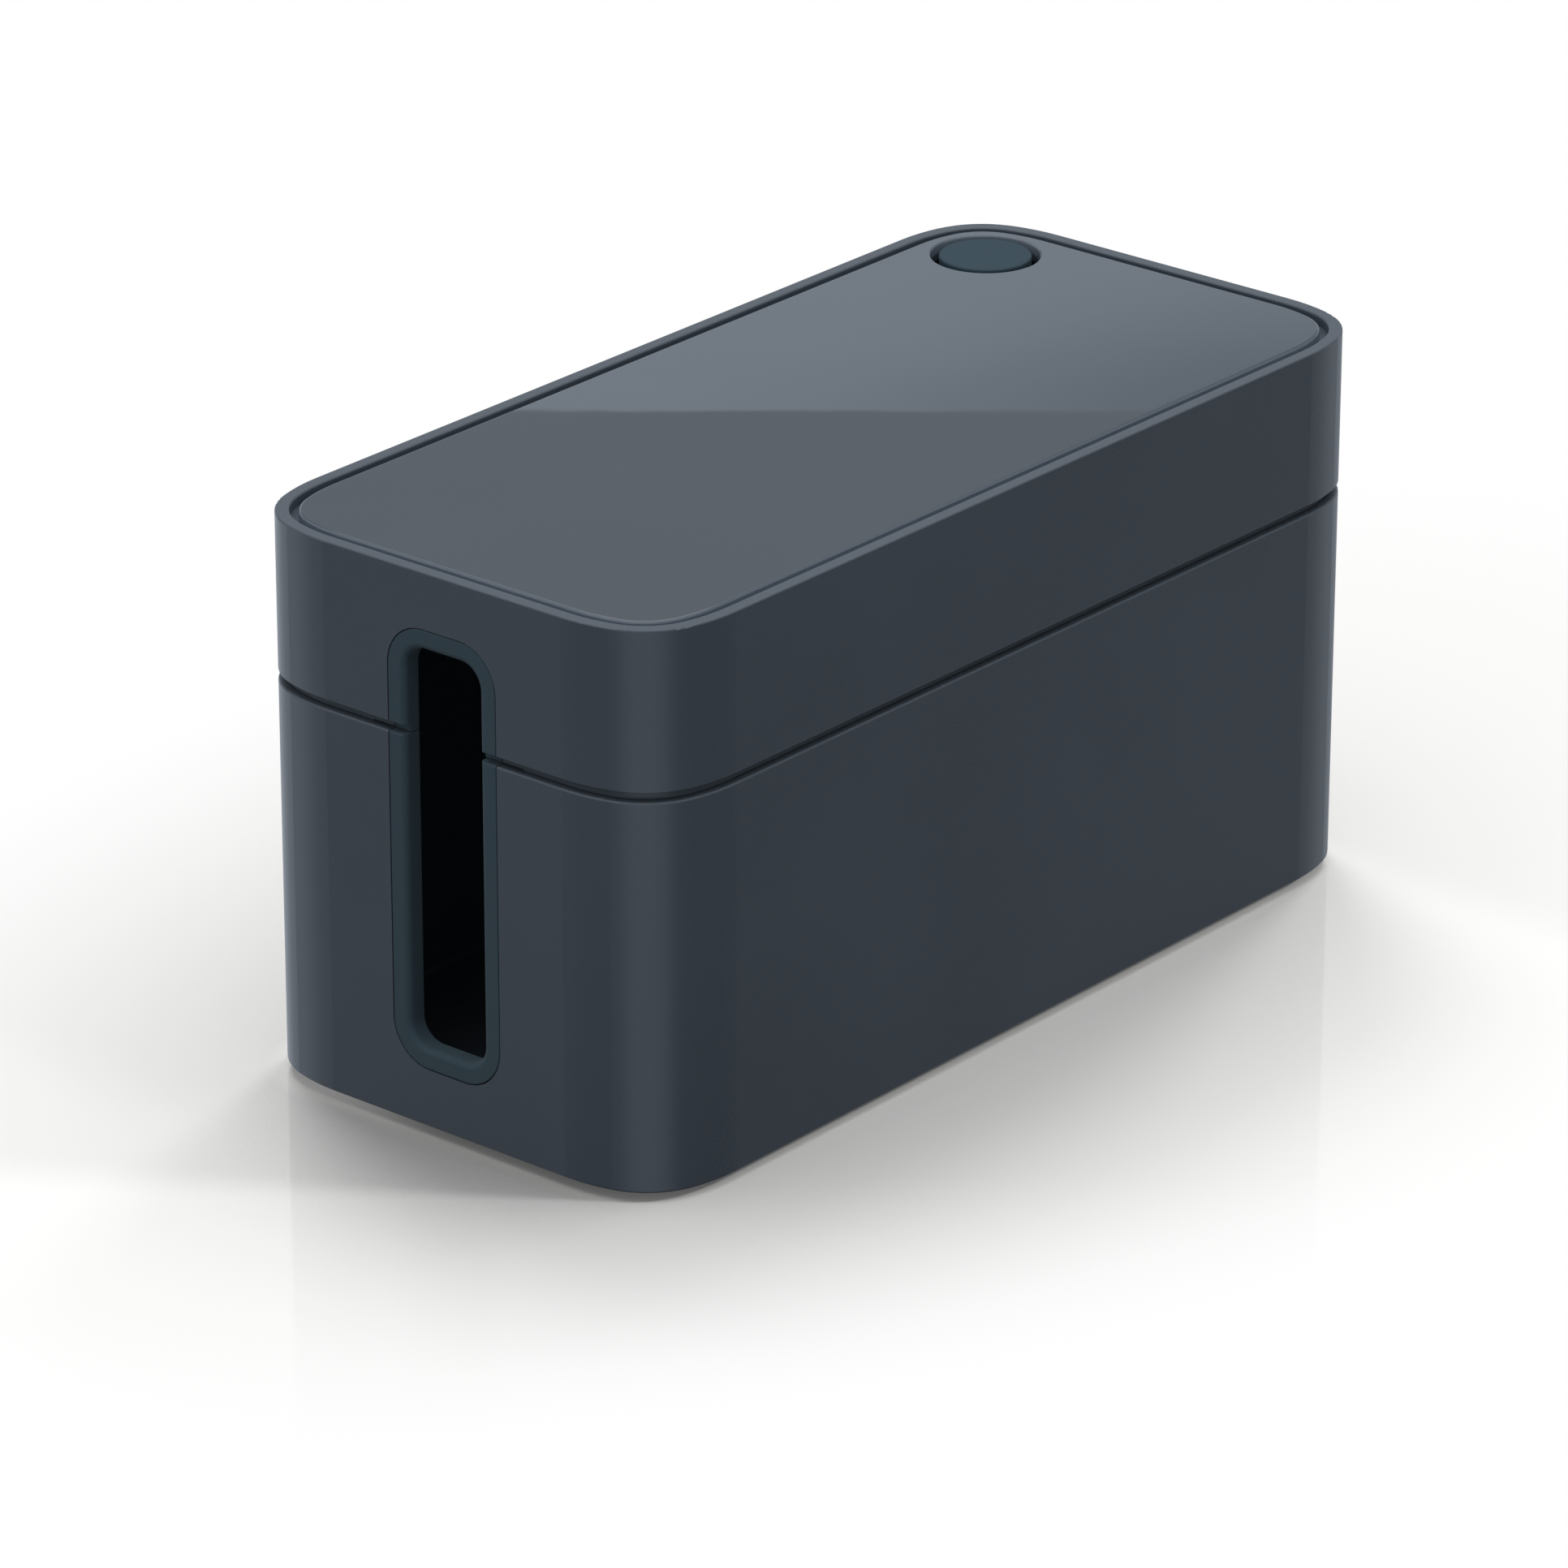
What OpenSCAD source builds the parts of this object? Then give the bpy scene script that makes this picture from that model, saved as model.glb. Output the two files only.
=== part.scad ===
// A cable management box: a moulded tub and a lift-off lid, a tall slot with soft
// trims in each end, a plate let into the lid and a cap in the round cable outlet.
// Millimetres. The origin is on the table under the middle of the box, +X runs along
// the length to the right end, +Y to the back and +Z up.

/* [Box] */
// Length over the two end faces
body_l = 246; // [180:1:400]
// Width over the two long faces
body_w = 116; // [104:1:180]
// Height from the table to the top of the rim
body_h = 128; // [118:1:180]
// Outer radius in the middle of the four upright corners
corner_r = 18; // [14:0.5:26]
// Larger outer radius with which a corner eases into the flat faces
corner_ease_r = 41; // [30:1:60]
// Thickness of the walls of the tub and the lid, and width of the rim
wall_t = 3.1; // [2.7:0.1:4]
// Radius between the tub's walls and its floor, inside
cove_r = 1; // [0.5:0.1:3]

/* [Tub] */
// Height of the tub from its underside to the ledge at the seam
tub_h = 88; // [70:1:92]
// Thickness of the tub's floor
floor_t = 2; // [1.6:0.1:4]
// Radius on the tub's outer edges, at the ledge and underneath
tub_edge_r = 0.5; // [0.2:0.05:0.8]

/* [Seam] */
// Height of the shadow gap between the tub and the lid
seam_gap = 2.15; // [1:0.05:4]
// Depth of the shadow gap, from the outer face to the lid's lip
seam_d = 1.9; // [1.2:0.1:2.1]
// Radius on the lid's lower outer edge
lid_edge_r = 0.25; // [0.2:0.05:0.8]
// Radius on the lower edge of the lip in the shadow gap
lip_edge_r = 0.3; // [0.1:0.05:0.5]
// Relief between the lip and the ledge beside each slot, where the tongue stops
lip_relief = 0.45; // [0.3:0.05:0.8]
// Length of the lid's tongue below the ledge
tongue_l = 5; // [3:0.5:10]
// Thickness of the tongue
tongue_t = 1.6; // [1.2:0.1:2.4]
// Play between the tongue and the inside of the tub
lid_play = 0.25; // [0.15:0.05:0.5]
// Height of the thick foot of the lid's wall above the lid's lower edge
skirt_h = 4; // [2:0.5:8]

/* [Lid top] */
// Thickness of the plate, and depth of the groove round it
plate_t = 2.2; // [1.6:0.1:3]
// Thickness of the deck that carries the plate
deck_t = 1.5; // [1.2:0.1:3]
// Width of the groove between the rim and the plate
groove_w = 1.9; // [1:0.1:4]
// Radius on the rim's outer edge
rim_outer_r = 0.35; // [0.2:0.05:0.8]
// Radius on the rim's edge at the groove
rim_inner_r = 0.45; // [0.2:0.05:0.8]
// Radius on the plate's outer edge
plate_edge_r = 0.65; // [0.2:0.05:1]

/* [Deck ribs] */
// Height of the ribs under the deck
rib_h = 4; // [2:0.5:4.5]
// Thickness of the ribs
rib_t = 1.4; // [1:0.1:2]
// Distance of the long ribs from the middle, as a share of the width
rib_y_share = 0.155; // [0.1:0.005:0.16]

/* [Plate pegs] */
// Diameter of the snap pegs under the plate
peg_d = 5; // [4:0.5:7]
// How much wider the barb of a peg is than the peg
peg_barb = 0.8; // [0.4:0.1:1.2]
// Height of the barb
peg_barb_h = 2.4; // [1.6:0.1:4]
// Width of the slot that lets a peg squeeze
peg_slot = 1.2; // [0.8:0.1:1.6]
// Play round a peg in the deck
peg_play = 0.1; // [0.05:0.05:0.2]
// Distance of the pegs from the plate's long edges
peg_inset = 10; // [8:1:20]
// Distance of the outer pegs from the middle, as a share of the length
peg_x_share = 0.3; // [0.2:0.01:0.32]

/* [Cable outlet] */
// Diameter of the round outlet in the plate and the deck
outlet_d = 25; // [20:0.5:30]
// Distance of the outlet's centre from the outer faces of the box
outlet_inset = 20.9; // [20.5:0.1:28]
// Radius on the outlet's upper edge
outlet_edge_r = 0.3; // [0.1:0.05:0.6]
// Diameter of the cap
cap_d = 21; // [15:0.5:22]
// Thickness of the cap's disc
cap_t = 5; // [3:0.5:6]
// Radius on the cap's upper edge
cap_edge_r = 0.5; // [0.2:0.05:1]
// Diameter of the cap's stem
cap_stem_d = 7; // [5:0.5:9]
// Width of each arm of the cap's foot
cap_arm_w = 4; // [3:0.5:6]
// Thickness of the arms
cap_arm_t = 2.5; // [1.5:0.5:3]
// Play round the arms in the socket
cap_play = 0.15; // [0.1:0.05:0.4]
// Depth of the seat for the cap's foot below the deck
socket_depth = 8.8; // [8:0.2:12]
// Thickness of the socket's wall
socket_t = 1.6; // [1.2:0.1:2]
// Relief between the outlet's edge and the socket's wall, under the deck
socket_relief = 1.6; // [1:0.1:2]
// Width of the seat that carries the arms
seat_w = 1.5; // [1:0.1:2]
// Thickness of the seat
seat_t = 1.5; // [1:0.1:2.5]

/* [Cable slots] */
// Width of the notch in each end wall
slot_w = 30; // [24:0.5:34]
// Height of the notch's lower end above the tub's underside
slot_low = 13.2; // [10:0.1:20]
// Depth of the notch's upper end below the rim
slot_high = 12.6; // [11:0.1:16]
// Corner radius of the notch
slot_r = 10; // [8:0.5:11]
// Width of the trim's face
trim_border = 4.4; // [3:0.1:6]
// Depth of the trim from the wall's outer face
trim_depth = 5; // [4.8:0.1:8]
// How far the trim's flange laps the wall, inside
trim_lap = 3.9; // [2:0.1:5]
// Play between the trim and the wall
trim_gap = 0.25; // [0.1:0.05:0.35]
// Radius on the trim's edge round the opening, outside
trim_edge_r = 1.4; // [0.8:0.1:2]
// Radius on the trim's edge round the opening, inside
trim_back_r = 0.8; // [0.4:0.1:1.4]
// Radius on the trim's edge at the wall
trim_joint_r = 0.2; // [0.1:0.05:0.4]
// Thickness of the rails that hold the trim
rail_t = 1.4; // [1:0.1:2]
// How far a rail's hook reaches over the trim's flange
rail_hook = 1.6; // [1:0.1:1.9]

/* [Feet] */
// Diameter of the feet
foot_d = 14; // [10:1:20]
// Height of the tub's underside above the table
foot_h = 2.2; // [1.5:0.1:5]
// Depth of the recess that a foot sits in
foot_seat = 0.8; // [0.5:0.1:1]
// Play round a foot in its recess
foot_play = 0.15; // [0.1:0.05:0.3]
// Radius on a foot's lower edge
foot_edge_r = 0.5; // [0.2:0.1:1]
// Distance of the feet's centres from the outer faces
foot_inset = 24; // [18:1:32]

/* [Hidden] */
$fn = 96;

// How far a cut runs past the face that it opens
overrun = 1;
// How far a rail, boss or peg runs into what carries it
root = 0.6;

housing_colour = "#3b424b";
plate_colour = "#5a626b";
trim_colour = "#2c3a43";
cap_colour = "#465a65";
foot_colour = "#1c1e20";

// How much larger the radius of a corner's easing is, and the cosine and the sine of
// the angle that it turns through, which are short decimals, so that the arcs meet
corner_ease = corner_ease_r - corner_r;
ease_turn_shares = [0.96, 0.28];

// Heights above the table
tub_z = foot_h;
ledge_z = tub_z + tub_h;
lid_z = ledge_z + seam_gap;
top_z = body_h;
deck_top = top_z - plate_t;
deck_low = deck_top - deck_t;
deck_inset = wall_t - root;

// The lid's tongue and the thick foot of its wall, in distances from the outer face
tongue_out = wall_t + lid_play;
skirt_in = tongue_out + tongue_t;
skirt_top = lid_z + skirt_h + skirt_in - wall_t;
tongue_low = ledge_z - tongue_l;
tongue_lead = tongue_t / 3;

// The plate
plate_gap = wall_t + groove_w;
plate_l = body_l - 2 * plate_gap;
plate_w = body_w - 2 * plate_gap;
plate_r = corner_r - plate_gap;
peg_x = body_l * peg_x_share;
peg_y = plate_w / 2 - peg_inset;

// The cross ribs' places along the box, as shares of the length, clear of the pegs
rib_x_shares = [-0.4, -0.15, 0.15];

// The outlet
outlet_x = body_l / 2 - outlet_inset;
outlet_y = body_w / 2 - outlet_inset;
seat_z = deck_low - socket_depth;
guide_z = seat_z + cap_arm_t;
seat_r = outlet_d / 2 - seat_w;
socket_r = outlet_d / 2 + socket_relief;
foot_r = outlet_d / 2 - cap_play;

// The slots
slot_low_z = tub_z + slot_low;
slot_high_z = top_z - slot_high;
slot_l = slot_high_z - slot_low_z;
slot_mid_z = (slot_high_z + slot_low_z) / 2;
trim_w = slot_w - 2 * trim_gap;
trim_l = slot_l - 2 * trim_gap;
trim_r = slot_r - trim_gap;
flange_y = slot_w / 2 + trim_lap;
flange_in = trim_depth + trim_gap;
rail_out_y = flange_y + trim_gap + rail_t;
skirt_gap_y = rail_out_y + lid_play;

// A rectangle with round corners, about its middle
module rounded_rect(l, w, r) {
    square([l - 2 * r, w], center = true);
    square([l, w - 2 * r], center = true);
    for (x = [-1, 1], y = [-1, 1])
        translate([x * (l / 2 - r), y * (w / 2 - r)])
            circle(r);
}

// What a rounding takes off a corner at the origin, between faces along +X and +Y
module corner_waste(r) {
    difference() {
        translate([-overrun, -overrun])
            square(r + overrun);
        translate([r, r])
            circle(r);
    }
}

// Turns a section through a quarter of a circle. The section's X is the distance in.
module quarter_turn(r) {
    rotate_extrude(angle = 90)
        translate([r, 0])
            mirror([1, 0])
                children();
}

// The part of a quarter turn between two directions
module part_turn(r, first, last) {
    intersection() {
        quarter_turn(r)
            children();
        linear_extrude(2 * body_h, center = true)
            polygon([[0, 0], 2 * r * first, 2 * r * (first + last), 2 * r * last]);
    }
}

// One corner, about the point where its outer faces would meet. With an ease, it starts
// and ends with an arc of a radius that much larger.
module turn_corner(r, ease) {
    first = ease_turn_shares;
    last = [first[1], first[0]];
    centre = r + ease * (1 - first[0]);
    reach = centre + ease * first[1];
    if (ease > 0) {
        translate([-r - ease, -reach, 0])
            part_turn(r + ease, [1, 0], first)
                children();
        translate([-centre, -centre, 0])
            part_turn(r, first, last)
                children();
        translate([-reach, -r - ease, 0])
            part_turn(r + ease, last, [0, 1])
                children();
    } else {
        translate([-r, -r, 0])
            quarter_turn(r)
                children();
    }
}

// Carries a section round a rounded rectangle. The section's X is the distance in
// from the outline and its Y is the height.
module run_round(l, w, r, ease = 0) {
    reach = r + ease * (1 - ease_turn_shares[0] + ease_turn_shares[1]);
    for (turn = [0 : 3]) {
        out = turn % 2 == 0 ? l : w;
        along = turn % 2 == 0 ? w : l;
        rotate(90 * turn) {
            translate([out / 2, along / 2 - reach, 0])
                rotate([90, 0, 0])
                    linear_extrude(along - 2 * reach)
                        mirror([1, 0])
                            children();
            translate([out / 2, along / 2, 0])
                turn_corner(r, ease)
                    children();
        }
    }
}

// Stands a shape drawn in the plane of an end wall at that end: its X is the width,
// its Y the height above the table and its Z the depth in from the outer face.
module at_end(side) {
    mirror([side > 0 ? 1 : 0, 0, 0])
        translate([-body_l / 2, 0, 0])
            rotate([90, 0, 90])
                children();
}

// Carries a section in height (X) and depth (Y) across the width of an end wall
module across_end(half) {
    translate([-half, 0, 0])
        rotate([90, 0, 90])
            linear_extrude(2 * half)
                children();
}

module slot_outline() {
    translate([0, slot_mid_z])
        rounded_rect(slot_w, slot_l, slot_r);
}

module slot_cut() {
    translate([0, 0, -overrun])
        linear_extrude(wall_t + 2 * overrun)
            slot_outline();
}

// One pair of upright hooked rails behind an end wall, from one height to another
module rails(low, high) {
    web_y = flange_y + trim_gap;
    for (hand = [0, 1])
        mirror([hand, 0, 0])
            translate([0, high, 0])
                rotate([90, 0, 0])
                    linear_extrude(high - low) {
                        translate([web_y, wall_t - root])
                            square([rail_t, flange_in + rail_t - wall_t + root]);
                        translate([flange_y - rail_hook, flange_in])
                            square([rail_out_y - flange_y + rail_hook, rail_t]);
                    }
}

module tub_section() {
    difference() {
        translate([0, tub_z])
            union() {
                square([wall_t, tub_h]);
                square([wall_t + cove_r, floor_t + cove_r]);
            }
        translate([wall_t + cove_r, tub_z + floor_t + cove_r])
            circle(cove_r);
        translate([0, tub_z])
            corner_waste(tub_edge_r);
        translate([0, ledge_z])
            mirror([0, 1])
                corner_waste(tub_edge_r);
    }
}

module foot_places() {
    for (x = [-1, 1], y = [-1, 1])
        translate([x * (body_l / 2 - foot_inset), y * (body_w / 2 - foot_inset), 0])
            children();
}

module base_tub() {
    color(housing_colour) {
        difference() {
            union() {
                run_round(body_l, body_w, corner_r, corner_ease)
                    tub_section();
                translate([0, 0, tub_z])
                    linear_extrude(floor_t)
                        rounded_rect(body_l - 2 * wall_t, body_w - 2 * wall_t, corner_r - wall_t);
            }
            for (side = [-1, 1])
                at_end(side)
                    slot_cut();
            foot_places()
                translate([0, 0, tub_z - overrun])
                    cylinder(d = foot_d + 2 * foot_play, h = foot_seat + overrun);
        }
        for (side = [-1, 1])
            at_end(side)
                rails(slot_low_z + slot_r, ledge_z);
    }
}

module lid_section() {
    difference() {
        polygon([
            [0, lid_z],
            [0, top_z],
            [wall_t, top_z],
            [wall_t, skirt_top],
            [skirt_in, skirt_top + wall_t - skirt_in],
            [skirt_in, tongue_low],
            [tongue_out + tongue_lead, tongue_low],
            [tongue_out, tongue_low + tongue_lead],
            [tongue_out, ledge_z],
            [seam_d, ledge_z],
            [seam_d, lid_z]
        ]);
        translate([0, lid_z])
            corner_waste(lid_edge_r);
        translate([0, top_z])
            mirror([0, 1])
                corner_waste(rim_outer_r);
        translate([wall_t, top_z])
            rotate(180)
                corner_waste(rim_inner_r);
        translate([seam_d, ledge_z])
            corner_waste(lip_edge_r);
    }
}

// The thick foot of the lid's wall and its tongue stop short of each slot, and the lip
// stands clear of the ledge there
module skirt_gap() {
    translate([0, 0, wall_t])
        linear_extrude(skirt_in - wall_t + overrun)
            translate([-skirt_gap_y, tongue_low - overrun])
                square([2 * skirt_gap_y, skirt_top - tongue_low + 2 * overrun]);
    linear_extrude(skirt_in + overrun)
        translate([-skirt_gap_y, tongue_low - overrun])
            square([2 * skirt_gap_y, tongue_l + overrun + lip_relief]);
}

// The socket under the deck that the cap's foot stands in
module outlet_socket() {
    translate([outlet_x, outlet_y, 0])
        rotate_extrude()
            polygon([
                [socket_r, deck_low + root],
                [socket_r + socket_t, deck_low + root],
                [socket_r + socket_t, seat_z - seat_t],
                [seat_r, seat_z - seat_t],
                [seat_r, seat_z],
                [outlet_d / 2, seat_z],
                [outlet_d / 2, guide_z],
                [socket_r, guide_z + socket_relief]
            ]);
}

module peg_places() {
    for (x = [-peg_x, 0, peg_x], y = [-peg_y, peg_y])
        translate([x, y, 0])
            children();
}

// Stiffening ribs under the deck, from wall to wall
module deck_ribs() {
    rib_l = body_l - 2 * wall_t + 2 * root;
    rib_w = body_w - 2 * wall_t + 2 * root;
    translate([0, 0, deck_low - rib_h])
        linear_extrude(rib_h + root) {
            for (hand = [-1, 1])
                translate([0, hand * body_w * rib_y_share])
                    square([rib_l, rib_t], center = true);
            for (share = rib_x_shares)
                translate([share * body_l, 0])
                    square([rib_t, rib_w], center = true);
        }
}

module lid_shell() {
    color(housing_colour) {
        difference() {
            run_round(body_l, body_w, corner_r, corner_ease)
                lid_section();
            for (side = [-1, 1])
                at_end(side) {
                    slot_cut();
                    skirt_gap();
                }
        }
        difference() {
            union() {
                translate([0, 0, deck_low])
                    linear_extrude(deck_t)
                        rounded_rect(body_l - 2 * deck_inset, body_w - 2 * deck_inset, corner_r - deck_inset);
                deck_ribs();
                outlet_socket();
            }
            translate([outlet_x, outlet_y, deck_low - overrun])
                cylinder(d = outlet_d, h = deck_t + 2 * overrun);
            peg_places()
                translate([0, 0, deck_low - overrun])
                    cylinder(d = peg_d + 2 * peg_play, h = deck_t + 2 * overrun);
        }
        for (side = [-1, 1])
            at_end(side)
                rails(lid_z, slot_high_z - slot_r);
    }
}

module plate_section() {
    difference() {
        translate([0, deck_top])
            square([plate_r / 2, plate_t]);
        translate([0, top_z])
            mirror([0, 1])
                corner_waste(plate_edge_r);
    }
}

// A split snap peg, from the plate's underside down through the deck
module peg() {
    barb_d = peg_d + peg_barb;
    difference() {
        union() {
            translate([0, 0, deck_low])
                cylinder(d = peg_d, h = deck_t + root);
            translate([0, 0, deck_low - peg_barb_h])
                cylinder(d1 = peg_d - peg_barb, d2 = barb_d, h = peg_barb_h - peg_play);
            translate([0, 0, deck_low - peg_barb_h / 2])
                cylinder(d = peg_d - peg_barb, h = peg_barb_h);
        }
        translate([-barb_d / 2, -peg_slot / 2, deck_low - peg_barb_h - overrun])
            cube([barb_d, peg_slot, peg_barb_h + deck_t / 2 + overrun]);
    }
}

module top_plate() {
    color(plate_colour) {
        difference() {
            union() {
                run_round(plate_l, plate_w, plate_r, corner_ease)
                    plate_section();
                translate([0, 0, deck_top])
                    linear_extrude(plate_t)
                        rounded_rect(plate_l - plate_r / 2, plate_w - plate_r / 2, plate_r * 3 / 4);
            }
            translate([outlet_x, outlet_y, deck_top - overrun])
                cylinder(d = outlet_d, h = plate_t + 2 * overrun);
            translate([outlet_x, outlet_y, top_z])
                rotate_extrude()
                    translate([outlet_d / 2, 0])
                        mirror([0, 1])
                            corner_waste(outlet_edge_r);
        }
        peg_places()
            peg();
    }
}

module outlet_cap() {
    color(cap_colour)
        translate([outlet_x, outlet_y, 0]) {
            rotate_extrude()
                difference() {
                    translate([0, top_z - cap_t])
                        square([cap_d / 2, cap_t]);
                    translate([cap_d / 2, top_z])
                        rotate(180)
                            corner_waste(cap_edge_r);
                }
            translate([0, 0, seat_z])
                cylinder(d = cap_stem_d, h = top_z - cap_t - seat_z + root);
            intersection() {
                translate([0, 0, seat_z])
                    cylinder(r = foot_r, h = cap_arm_t);
                for (turn = [0 : 2])
                    rotate(120 * turn)
                        translate([0, -cap_arm_w / 2, seat_z - overrun])
                            cube([outlet_d, cap_arm_w, cap_arm_t + 2 * overrun]);
            }
        }
}

// The whole soft frame of one slot, before the seam parts it
module trim_frame() {
    translate([0, slot_mid_z, 0])
        run_round(trim_w, trim_l, trim_r)
            difference() {
                union() {
                    square([trim_border, trim_depth]);
                    translate([-trim_lap - trim_gap, wall_t + trim_gap])
                        square([trim_lap + trim_gap + root, trim_depth - wall_t - trim_gap]);
                }
                corner_waste(trim_joint_r);
                translate([trim_border, 0])
                    mirror([1, 0])
                        corner_waste(trim_edge_r);
                translate([trim_border, trim_depth])
                    rotate(180)
                        corner_waste(trim_back_r);
            }
}

// What the seam takes off the lower trim: all above the ledge, with the tub's edge
module above_ledge() {
    across_end(rail_out_y) {
        translate([ledge_z, -overrun])
            square([body_h, trim_depth + 2 * overrun]);
        translate([ledge_z, 0])
            mirror([1, 0])
                corner_waste(tub_edge_r);
    }
}

// What the seam takes off the upper trim: the shadow gap and all below the lip
module below_lip() {
    across_end(rail_out_y) {
        translate([lid_z - body_h, -overrun])
            square([body_h, seam_d + overrun]);
        translate([ledge_z + trim_gap - body_h, -overrun])
            square([body_h, trim_depth + 2 * overrun]);
        translate([lid_z, 0])
            corner_waste(lid_edge_r);
        translate([ledge_z + trim_gap, seam_d])
            corner_waste(lip_edge_r);
    }
}

module base_trim(side) {
    color(trim_colour)
        at_end(side)
            difference() {
                trim_frame();
                above_ledge();
            }
}

module lid_trim(side) {
    color(trim_colour)
        at_end(side)
            difference() {
                trim_frame();
                below_lip();
            }
}

module base_trim_left() {
    base_trim(-1);
}

module base_trim_right() {
    base_trim(1);
}

module lid_trim_left() {
    lid_trim(-1);
}

module lid_trim_right() {
    lid_trim(1);
}

// A round rubber foot, from the table up into its recess
module foot(x, y) {
    color(foot_colour)
        translate([x * (body_l / 2 - foot_inset), y * (body_w / 2 - foot_inset), 0])
            rotate_extrude()
                difference() {
                    square([foot_d / 2, foot_h + foot_seat]);
                    translate([foot_d / 2, 0])
                        mirror([1, 0])
                            corner_waste(foot_edge_r);
                }
}

module foot_front_left() {
    foot(-1, -1);
}

module foot_front_right() {
    foot(1, -1);
}

module foot_back_left() {
    foot(-1, 1);
}

module foot_back_right() {
    foot(1, 1);
}

base_tub();
base_trim_left();
base_trim_right();
foot_front_left();
foot_front_right();
foot_back_left();
foot_back_right();
lid_shell();
lid_trim_left();
lid_trim_right();
top_plate();
outlet_cap();
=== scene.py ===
# A cable management box in a pale studio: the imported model, its finishes, light and camera.
# Metres, +Z up. The frame's origin is on the table under the middle of the box.
import math

import bpy
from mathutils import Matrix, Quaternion, Vector

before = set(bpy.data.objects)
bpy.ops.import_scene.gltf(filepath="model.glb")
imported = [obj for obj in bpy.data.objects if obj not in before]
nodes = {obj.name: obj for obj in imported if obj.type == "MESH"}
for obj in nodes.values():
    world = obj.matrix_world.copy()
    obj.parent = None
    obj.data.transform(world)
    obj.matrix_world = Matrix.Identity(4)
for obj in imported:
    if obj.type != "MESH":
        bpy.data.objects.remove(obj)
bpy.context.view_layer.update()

# Pairs are a span of a measure, or the values at the two ends of one. Angles are in degrees, and light is
# radiance with 1 as plain white. A share towards a place is 1 straight at it and -1 straight away from it.
# ASIDE is the share towards the camera's right, and ALONG and ACROSS are metres on the table, in X and Y.
UP = (0.0, 0.0, 1.0)
LENGTHWISE = (1.0, 0.0, 0.0)
CROSSWISE = (0.0, 1.0, 0.0)
WHITE = (1.0, 1.0, 1.0, 1.0)

# Camera, as the photograph was taken
VIEW_AZIMUTH = -50.164
VIEW_ELEVATION = 23.259
VIEW_ROLL = 0.0774
VIEW_DISTANCE = 1.8359
VIEW_TARGET = Vector((-0.0117, 0.0011, 0.0453))
LENS = 193.84
SENSOR = 36.0
CLIP_START = 0.05
CLIP_END = 60.0

# Ceiling softbox
CEILING_AZIMUTH = 115.0
CEILING_ELEVATION = 82.0
CEILING_EDGE = 38.0
CEILING_SOFT = 12.0
CEILING_LIGHT = 1.72
# Walls, left and right in front, low and high at the back
HORIZON = (-0.02, 0.02)
LEAST_FLAT = 0.001
FRONT_WALL_ASIDE = (-0.6, 0.9)
FRONT_WALL_LIGHT = (0.86, 0.62)
BACK_WALL_FROM_FRONT = (0.2, 0.7)
BACK_WALL_HIGH = 0.49
BACK_WALL_LIGHT = (0.31, 0.36)
# Backdrop behind the box, whose straight top edge the plate mirrors, with a softer edge at the right
BACKDROP_TOP = 20.74
BACKDROP_EDGE = 0.00035
BACKDROP_ASIDE = (-0.04, 0.06)
BACKDROP_LIGHT = (0.73, 0.69)
SOFT_EDGE_ASIDE = (-0.02, 0.075)
SOFT_REACH_ASIDE = (-0.03, 0.08)
SOFT_REACH = (0.0041, 0.025)
# Strip light low in front, and pale light low behind the box from its left to its right
STRIP_AZIMUTH = -50.0
STRIP_EDGE = 44.0
STRIP_LIGHT = 1.13
REAR_AZIMUTH = 140.0
REAR_SPAN_ASIDE = (-0.4, 0.4)
REAR_START = (-0.07, 0.03)
REAR_FULL = (0.42, 0.25)
REAR_LIGHT_ASIDE = (-0.5, 0.5)
REAR_LIGHT = (0.98, 0.64)
# Colour of the backdrop, the strip and the light behind
COOL_TINT = (0.91, 0.99, 1.1)

# Table: its tone to the camera, its tone to other rays, its tint and its faint gloss
FLOOR_SIZE = 12.0
FLOOR_COLOUR = 0.388
FLOOR_BOUNCE = 0.12
FLOOR_TINT = (1.0, 0.992, 0.975)
FLOOR_SHEEN = 0.28
FLOOR_ROUGHNESS = 0.04
# Oval in which the table fades to plain white, which ends sooner past the near corner
FADE_SHAPE = (0.42, 0.75, 1.0)
FADE_SPAN = (0.055, 0.16)
NEAR_REACH = 0.11
NEAR_SHARE = 0.3
# Soft lamps on the table alone: azimuth, elevation, spread and strength
TABLE_LAMPS = ((34.0, 38.0, 7.0, 1.9), (149.5, 49.6, 24.0, 2.32), (105.7, 41.2, 13.0, 1.33))
# Deeper shade beside the end wall: direction of the missing light, its openness there and its depth
SHADE_AZIMUTH = 80.0
SHADE_ELEVATION = 15.0
SHADE_DISTANCE = 0.4
SHADE_SAMPLES = 12
SHADE_OPENNESS = (0.43, 0.61)
SHADE_DEPTH = 0.68
# Slight shade past the right end of the box and behind it
END_SHADE = 0.1
PAST_END_ALONG = (0.105, 0.13)
PAST_BACK_ACROSS = (0.04, 0.06)
PAST_BACK_ALONG = (-0.165, -0.13)
# Light that reaches the table close under the edge of the box, and more of it at the left back corner
CONTACT_REACH = 0.006
CONTACT_SAMPLES = 8
CONTACT_FILL = 0.085
CORNER_FILL = 0.26
CORNER_ALONG = (-0.11, -0.095)
CORNER_ACROSS = (0.0, 0.045)

# Finishes: features per metre of the waviness and of the changes of tone, and how deep they go
WAVE_SCALE = 70.0
WAVE_DEPTH = 0.0002
TONE_SCALE = 14.0
TONE_RANGE = (0.98, 1.02)
NOISE_SPAN = (0.3, 0.7)
GRAIN_DEPTH_SHARE = 0.3
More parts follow.
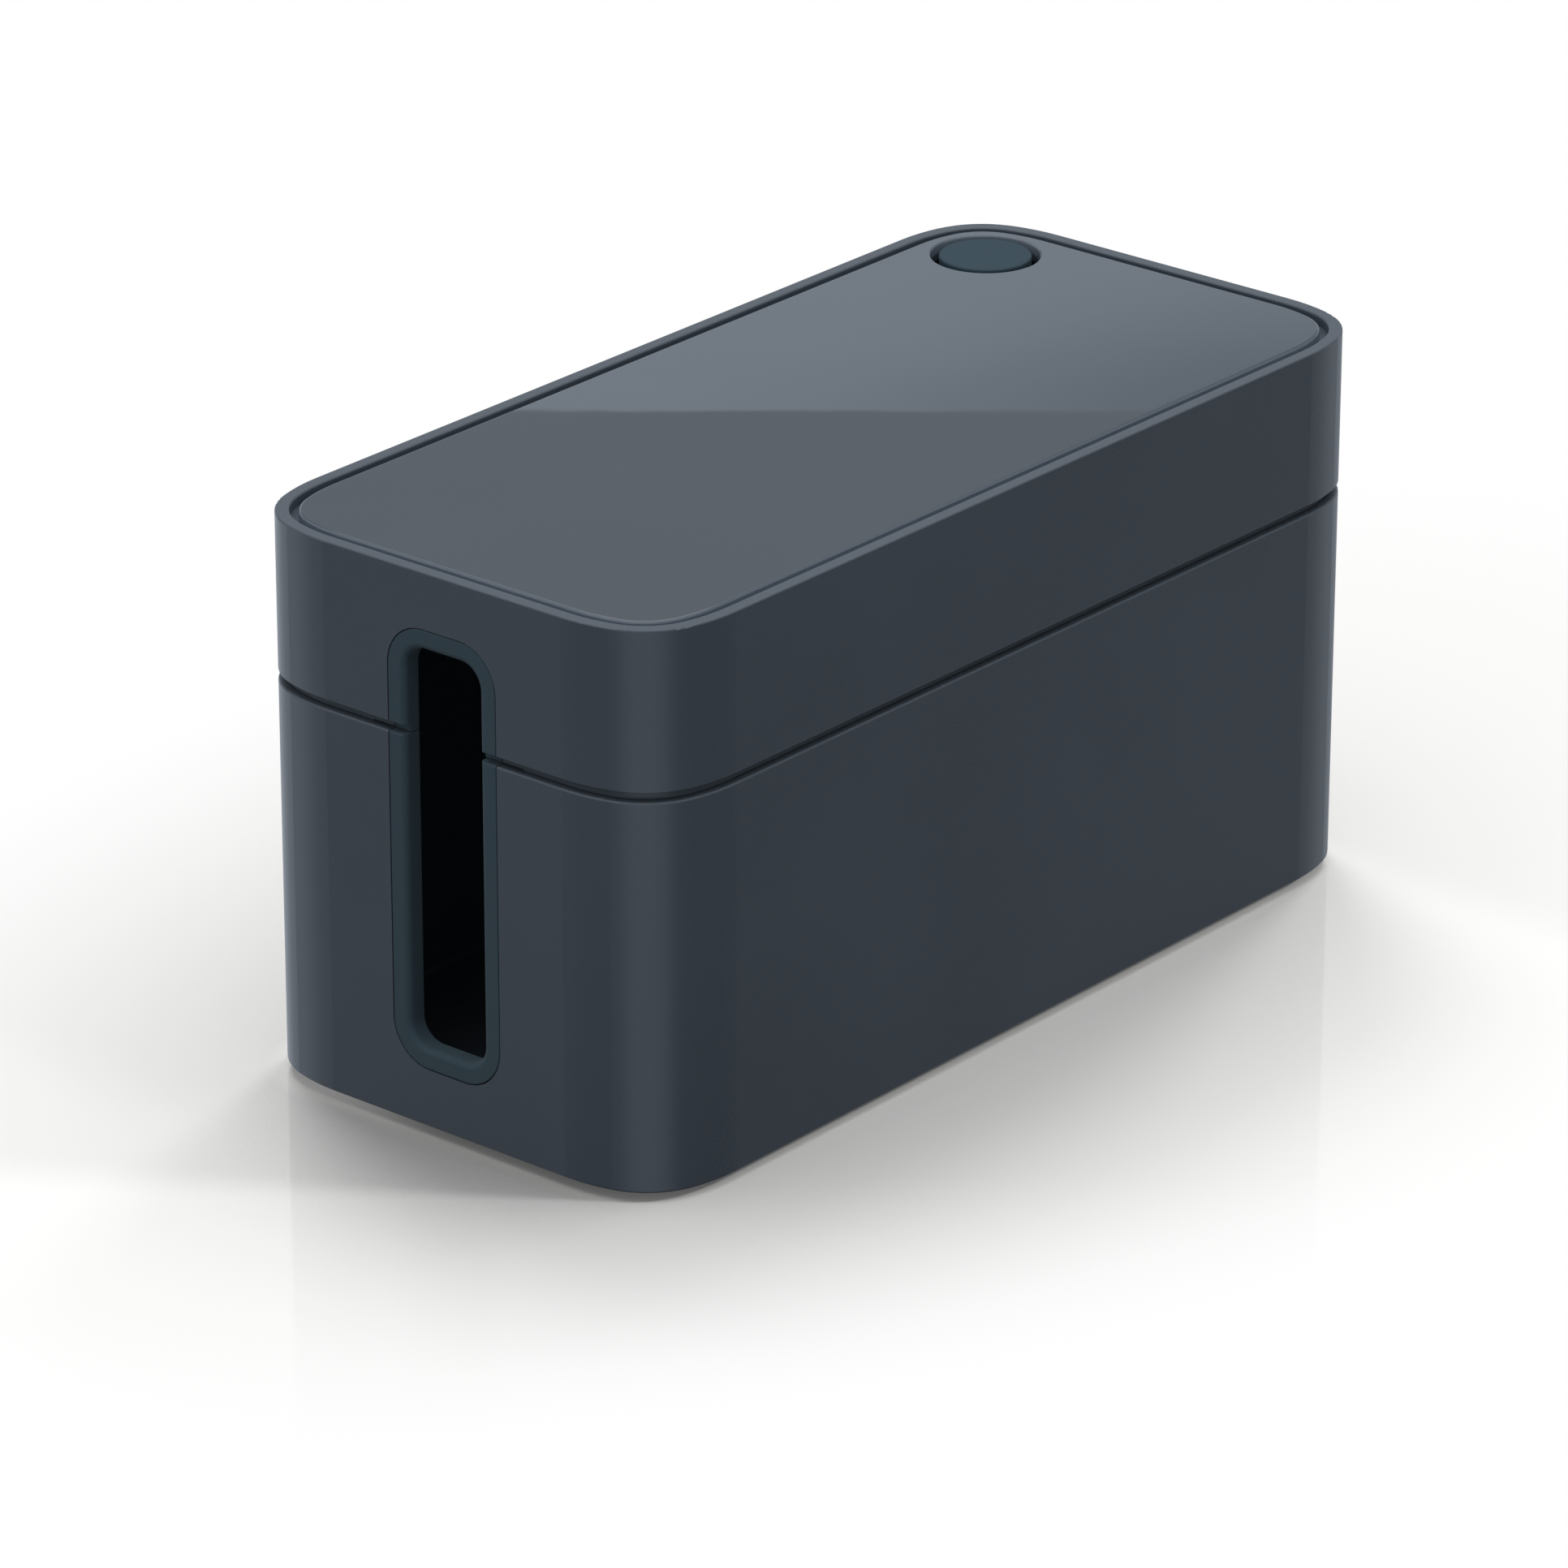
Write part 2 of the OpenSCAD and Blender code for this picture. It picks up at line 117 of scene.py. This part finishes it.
# Upward part of the normal where a face passes from upright to flat, across which the painted highlight
# on upright faces fades out, and where one that looks down gets its gloss back. Taking the gloss off faces
# that look down is painted shade, for the dark table they would mirror
UPRIGHT_TO_FLAT = (0.3, 0.8)
DOWNWARD_TO_LEVEL = (-0.55, -0.05)
HOUSING_COLOUR = (0.056, 0.071, 0.090)
SOFT_COLOUR = (0.034, 0.057, 0.074)
RUBBER_COLOUR = (0.012, 0.013, 0.014)


def direction(azimuth, elevation=0.0):
    """The unit vector towards an azimuth and an elevation, both in degrees."""
    a, e = math.radians(azimuth), math.radians(elevation)
    return Vector((math.sin(a) * math.cos(e), -math.cos(a) * math.cos(e), math.sin(e)))


class Graph:
    """Adds shader nodes to a material's or a world's tree, with short calls."""

    def __init__(self, owner):
        owner.use_nodes = True
        self.tree = owner.node_tree
        self.tree.nodes.clear()

    def add(self, kind, inputs=(), **settings):
        """One node. inputs maps socket names or numbers to values or to sockets."""
        node = self.tree.nodes.new(kind)
        for name, value in settings.items():
            setattr(node, name, value)
        for key, value in dict(inputs).items():
            if isinstance(value, bpy.types.NodeSocket):
                self.tree.links.new(value, node.inputs[key])
            else:
                node.inputs[key].default_value = value
        return node

    def math(self, operation, *values, clamp=False):
        """A Math node's result."""
        node = self.add("ShaderNodeMath", enumerate(values), operation=operation, use_clamp=clamp)
        return node.outputs[0]

    def product(self, first, *others):
        """Numbers multiplied."""
        for other in others:
            first = self.math("MULTIPLY", first, other)
        return first

    def total(self, first, *others):
        """Numbers added."""
        for other in others:
            first = self.math("ADD", first, other)
        return first

    def remainder(self, share):
        """What a share leaves of 1."""
        return self.math("SUBTRACT", 1.0, share)

    def dot(self, a, b):
        """The dot product of a vector socket and a fixed vector."""
        node = self.add("ShaderNodeVectorMath", {0: a, 1: tuple(b)}, operation="DOT_PRODUCT")
        return node.outputs["Value"]

    def scaled(self, vector, scale):
        """A fixed vector times a number."""
        inputs = {0: vector, "Scale": scale}
        return self.add("ShaderNodeVectorMath", inputs, operation="SCALE").outputs[0]

    def ramp(self, value, span, ends=(0.0, 1.0)):
        """A smooth step over a span of value, from the first of the ends to the second."""
        inputs = {"Value": value, "From Min": span[0], "From Max": span[1]}
        inputs.update({"To Min": ends[0], "To Max": ends[1]})
        return self.add("ShaderNodeMapRange", inputs, interpolation_type="SMOOTHSTEP").outputs[0]

    def mix(self, share, first, second):
        """A number that goes from the first to the second as share goes from 0 to 1."""
        return self.add("ShaderNodeMix", {0: share, 2: first, 3: second}).outputs[0]

    def noise(self, place, scale, detail, roughness):
        """Noise over a place, with scale as features per metre."""
        inputs = {"Vector": place, "Scale": scale, "Detail": detail, "Roughness": roughness}
        return self.add("ShaderNodeTexNoise", inputs).outputs["Fac"]

    def openness(self, distance, samples, **inputs):
        """How little stands round a point within a distance, up to 1."""
        inputs["Distance"] = distance
        return self.add("ShaderNodeAmbientOcclusion", inputs, samples=samples).outputs["AO"]

    def seen(self):
        """1 for what the camera sees itself, 0 for light on its way."""
        return self.add("ShaderNodeLightPath").outputs["Is Camera Ray"]


class Ray:
    """Where a ray of the world points: its height, its share aside and its side of the horizon."""

    def __init__(self, g):
        self.g = g
        self.pointing = g.add("ShaderNodeTexCoord").outputs["Generated"]
        self.height = g.dot(self.pointing, UP)
        flat = g.math("SQRT", g.remainder(g.product(self.height, self.height)))
        self.flat = g.math("MAXIMUM", flat, LEAST_FLAT)
        self.aside = self.share(direction(VIEW_AZIMUTH + 90.0))
        self.above = g.ramp(self.height, HORIZON)
        self.below = g.remainder(self.above)

    def share(self, level_direction):
        """The share towards a level direction, whatever the ray's height."""
        return self.g.math("DIVIDE", self.g.dot(self.pointing, level_direction), self.flat)


def make_camera():
    """The camera of the photograph."""
    back = direction(VIEW_AZIMUTH, VIEW_ELEVATION)
    data = bpy.data.cameras.new("camera")
    data.lens = LENS
    data.sensor_width = SENSOR
    data.clip_start = CLIP_START
    data.clip_end = CLIP_END
    camera = bpy.data.objects.new("camera", data)
    camera.rotation_mode = "QUATERNION"
    roll = Quaternion(UP, math.radians(VIEW_ROLL))
    camera.rotation_quaternion = (-back).to_track_quat("-Z", "Y") @ roll
    camera.location = VIEW_TARGET + back * VIEW_DISTANCE
    bpy.context.scene.collection.objects.link(camera)
    bpy.context.scene.camera = camera


def ceiling_light(g, ray):
    """A round softbox overhead."""
    facing = g.dot(ray.pointing, direction(CEILING_AZIMUTH, CEILING_ELEVATION))
    outer = math.cos(math.radians(CEILING_EDGE + CEILING_SOFT / 2))
    inner = math.cos(math.radians(CEILING_EDGE - CEILING_SOFT / 2))
    return g.ramp(facing, (outer, inner), (0.0, CEILING_LIGHT))


def backdrop_light(g, ray, under_top):
    """The backdrop, whose light falls to the wall's towards its top at the right."""
    reach = g.ramp(ray.aside, SOFT_REACH_ASIDE, SOFT_REACH)
    near_top = g.ramp(under_top, (0.0, reach), (1.0, 0.0))
    fall = g.product(near_top, g.ramp(ray.aside, SOFT_EDGE_ASIDE))
    return g.mix(fall, g.ramp(ray.aside, BACKDROP_ASIDE, BACKDROP_LIGHT), BACK_WALL_LIGHT[0])


def wall_light(g, ray):
    """The walls with the backdrop, and the backdrop's own share of the view."""
    away = -direction(VIEW_AZIMUTH)
    edge_height = g.product(g.dot(ray.pointing, away), math.tan(math.radians(BACKDROP_TOP)))
    under_top = g.math("SUBTRACT", edge_height, ray.height)
    on_backdrop = g.math("DIVIDE", under_top, BACKDROP_EDGE, clamp=True)
    low = math.sin(math.radians(BACKDROP_TOP))
    back = g.ramp(ray.height, (low, BACK_WALL_HIGH), BACK_WALL_LIGHT)
    back = g.mix(on_backdrop, back, backdrop_light(g, ray, under_top))
    front = g.ramp(ray.aside, FRONT_WALL_ASIDE, FRONT_WALL_LIGHT)
    at_back = g.ramp(ray.share(away), BACK_WALL_FROM_FRONT)
    light = g.product(g.mix(at_back, front, back), ray.above)
    return light, g.product(on_backdrop, at_back, ray.above)


def rear_light(g, ray):
    """Pale light low behind the box, and its share of the view."""
    start = g.ramp(ray.aside, REAR_SPAN_ASIDE, REAR_START)
    full = g.ramp(ray.aside, REAR_SPAN_ASIDE, REAR_FULL)
    share = g.product(ray.below, g.ramp(ray.share(direction(REAR_AZIMUTH)), (start, full)))
    return g.product(share, g.ramp(ray.aside, REAR_LIGHT_ASIDE, REAR_LIGHT)), share


def strip_light(g, ray):
    """A strip light low in front, and its share of the view."""
    edge = math.cos(math.radians(STRIP_EDGE))
    share = g.product(ray.below, g.ramp(ray.share(direction(STRIP_AZIMUTH)), (edge, 1.0)))
    return g.product(share, STRIP_LIGHT), share


def make_world():
    """The studio, which the camera itself sees as plain white."""
    world = bpy.data.worlds.new("studio")
    bpy.context.scene.world = world
    g = Graph(world)
    ray = Ray(g)
    wall, backdrop_share = wall_light(g, ray)
    rear, rear_share = rear_light(g, ray)
    strip, strip_share = strip_light(g, ray)
    light = g.total(ceiling_light(g, ray), wall, rear, strip)
    seen = g.seen()
    cool = g.math("ADD", g.total(backdrop_share, rear_share), strip_share, clamp=True)
    shift = g.scaled([value - 1.0 for value in COOL_TINT], g.product(cool, g.remainder(seen)))
    tint = g.add("ShaderNodeVectorMath", {0: shift, 1: WHITE[:3]}, operation="ADD").outputs[0]
    background = g.add("ShaderNodeBackground", {"Color": tint, "Strength": g.mix(seen, light, 1.0)})
    g.add("ShaderNodeOutputWorld", {"Surface": background.outputs[0]})


def floor_tone(g, along, across):
    """The table's tone to the camera, with the shades beside, past and behind the box."""
    missing = g.add("ShaderNodeCombineXYZ", enumerate(direction(SHADE_AZIMUTH, SHADE_ELEVATION)))
    openness = g.openness(SHADE_DISTANCE, SHADE_SAMPLES, Normal=missing.outputs[0])
    tone = g.ramp(openness, SHADE_OPENNESS, (SHADE_DEPTH * FLOOR_COLOUR, FLOOR_COLOUR))
    past_end = g.ramp(along, PAST_END_ALONG)
    past_back = g.product(g.ramp(across, PAST_BACK_ACROSS), g.ramp(along, PAST_BACK_ALONG))
    dim = g.math("MULTIPLY_ADD", g.math("MAXIMUM", past_end, past_back), -END_SHADE, 1.0)
    return g.product(tone, dim)


def contact_light(g, along, across):
    """The little light on the table close under the edge of the box."""
    at_corner = g.product(g.ramp(across, CORNER_ACROSS), g.ramp(along, CORNER_ALONG, (1.0, 0.0)))
    fill = g.mix(at_corner, CONTACT_FILL, CORNER_FILL)
    return g.product(g.remainder(g.openness(CONTACT_REACH, CONTACT_SAMPLES)), fill)


def floor_fade(g, place):
    """How far the table has faded to plain white."""
    oval = g.add("ShaderNodeVectorMath", {0: place, 1: FADE_SHAPE}, operation="MULTIPLY").outputs[0]
    distance = g.add("ShaderNodeVectorMath", {0: oval}, operation="LENGTH").outputs["Value"]
    past_corner = g.math("SUBTRACT", g.dot(place, direction(VIEW_AZIMUTH)), NEAR_REACH)
    past_corner = g.product(g.math("MAXIMUM", past_corner, 0.0), NEAR_SHARE)
    return g.ramp(g.total(distance, past_corner), FADE_SPAN)


def floor_material():
    """A pale table with a faint gloss that fades to plain white away from the box."""
    material = bpy.data.materials.new("floor_white")
    g = Graph(material)
    place = g.add("ShaderNodeNewGeometry").outputs["Position"]
    along = g.dot(place, LENGTHWISE)
    across = g.dot(place, CROSSWISE)
    seen = g.seen()
    tone = g.mix(seen, FLOOR_BOUNCE, floor_tone(g, along, across))
    lit = g.add("ShaderNodeBsdfDiffuse", {"Color": g.scaled(FLOOR_TINT, tone)})
    sheen = g.product(seen, FLOOR_SHEEN)
    gloss = g.add("ShaderNodeBsdfAnisotropic", {"Color": sheen, "Roughness": FLOOR_ROUGHNESS})
    contact = g.product(contact_light(g, along, across), seen)
    fill = g.add("ShaderNodeEmission", {"Color": WHITE, "Strength": contact})
    table = g.add("ShaderNodeAddShader", {0: lit.outputs[0], 1: gloss.outputs[0]})
    table = g.add("ShaderNodeAddShader", {0: table.outputs[0], 1: fill.outputs[0]})
    white = g.add("ShaderNodeEmission", {"Color": WHITE, "Strength": 1.0})
    fade = g.product(floor_fade(g, place), seen)
    mixed = g.add("ShaderNodeMixShader", {0: fade, 1: table.outputs[0], 2: white.outputs[0]})
    g.add("ShaderNodeOutputMaterial", {"Surface": mixed.outputs[0]})
    return material


def make_floor():
    """The table, which the glossy faces of the box don't mirror."""
    half = FLOOR_SIZE / 2
    corners = [(-half, -half, 0), (half, -half, 0), (half, half, 0), (-half, half, 0)]
    mesh = bpy.data.meshes.new("floor")
    mesh.from_pydata(corners, [], [(0, 1, 2, 3)])
    mesh.materials.append(floor_material())
    floor = bpy.data.objects.new("floor", mesh)
    bpy.context.scene.collection.objects.link(floor)
    floor.visible_glossy = False
    return floor


def light_table(floor):
    """Soft lamps that light the table alone and throw the box's shadow on it."""
    lit = bpy.data.collections.new("lit_by_table_lamps")
    lit.objects.link(floor)
    for number, (azimuth, elevation, spread, strength) in enumerate(TABLE_LAMPS):
        data = bpy.data.lights.new("table_lamp_%d" % number, "SUN")
        data.energy = strength
        data.angle = math.radians(spread)
        lamp = bpy.data.objects.new(data.name, data)
        lamp.rotation_mode = "QUATERNION"
        lamp.rotation_quaternion = direction(azimuth, elevation).to_track_quat("Z", "Y")
        lamp.light_linking.receiver_collection = lit
        bpy.context.scene.collection.objects.link(lamp)


def moulded_normal(g, fine, broad, grain, grain_size, wave):
    """An even grain on a slow waviness."""
    inputs = {"Strength": wave, "Distance": WAVE_DEPTH, "Height": broad}
    waved = g.add("ShaderNodeBump", inputs).outputs[0]
    depth = grain_size * GRAIN_DEPTH_SHARE
    inputs = {"Strength": grain, "Distance": depth, "Height": fine, "Normal": waved}
    return g.add("ShaderNodeBump", inputs).outputs[0]


def moulded(name, colour, roughness, specular, grain, grain_size, sheen=0.0,
            polish=0.02, wave=0.05, edge=1.0):
    """A moulded surface: a grain, a slow waviness and slow changes of tone and polish.

    grain and wave are strengths of bump and grain_size is in metres. polish is how far the roughness
    varies, and edge is a painted highlight: how much brighter the upright faces are painted than the top.
    """
    material = bpy.data.materials.new(name)
    g = Graph(material)
    place = g.add("ShaderNodeTexCoord").outputs["Object"]
    fine = g.noise(place, 1.0 / grain_size, detail=3.0, roughness=0.6)
    broad = g.noise(place, WAVE_SCALE, detail=1.0, roughness=0.4)
    slow = g.noise(place, TONE_SCALE, detail=3.0, roughness=0.5)
    upward = g.dot(g.add("ShaderNodeNewGeometry").outputs["Normal"], UP)
    slow_polish = g.ramp(slow, NOISE_SPAN, (-polish, polish))
    fine_polish = g.ramp(fine, NOISE_SPAN, (roughness - polish, roughness + polish))
    # Painted highlight: the colour of upright faces is made brighter by edge, on top of the slow random
    # tone
    tone = g.product(g.ramp(slow, NOISE_SPAN, TONE_RANGE), g.ramp(upward, UPRIGHT_TO_FLAT, (edge, 1.0)))
    inputs = {
        "Base Color": g.scaled(colour, tone),
        "Roughness": g.total(slow_polish, fine_polish),
        # Painted shade: faces that look down lose their specular reflection, for the dark table they would
        # mirror
        "Specular IOR Level": g.ramp(upward, DOWNWARD_TO_LEVEL, (0.0, specular)),
        "Sheen Weight": sheen,
        "Normal": moulded_normal(g, fine, broad, grain, grain_size, wave),
    }
    surface = g.add("ShaderNodeBsdfPrincipled", inputs)
    g.add("ShaderNodeOutputMaterial", {"Surface": surface.outputs[0]})
    return material


def dress(material, *names):
    """Gives CAD nodes a material."""
    for name in names:
        node = nodes[name]
        if not node.material_slots:
            node.data.materials.append(None)
        for slot in node.material_slots:
            slot.material = material


make_camera()
make_world()
light_table(make_floor())

housing = moulded(
    "housing_plastic", HOUSING_COLOUR, roughness=0.30, specular=0.28, grain=0.10, grain_size=0.00025)
# The plate's upright edge faces get a painted highlight, 2.6 times as bright as its top
plate = moulded(
    "plate_plastic", HOUSING_COLOUR, roughness=0.006, specular=0.5, grain=0.0002, grain_size=0.0006,
    polish=0.002, wave=0.004, edge=2.6)
trim = moulded(
    "soft_trim", SOFT_COLOUR, roughness=0.8, specular=0.1, grain=0.15, grain_size=0.0002, sheen=0.06)
cap = moulded(
    "cap_soft", SOFT_COLOUR, roughness=0.8, specular=0.08, grain=0.15, grain_size=0.0002)
rubber = moulded(
    "foot_rubber", RUBBER_COLOUR, roughness=0.6, specular=0.5, grain=0.2, grain_size=0.0003)

dress(housing, "base_tub", "lid_shell")
dress(plate, "top_plate")
dress(trim, "base_trim_left", "base_trim_right", "lid_trim_left", "lid_trim_right")
dress(cap, "outlet_cap")
dress(rubber, "foot_front_left", "foot_front_right", "foot_back_left", "foot_back_right")

bpy.context.scene.view_settings.view_transform = "Standard"
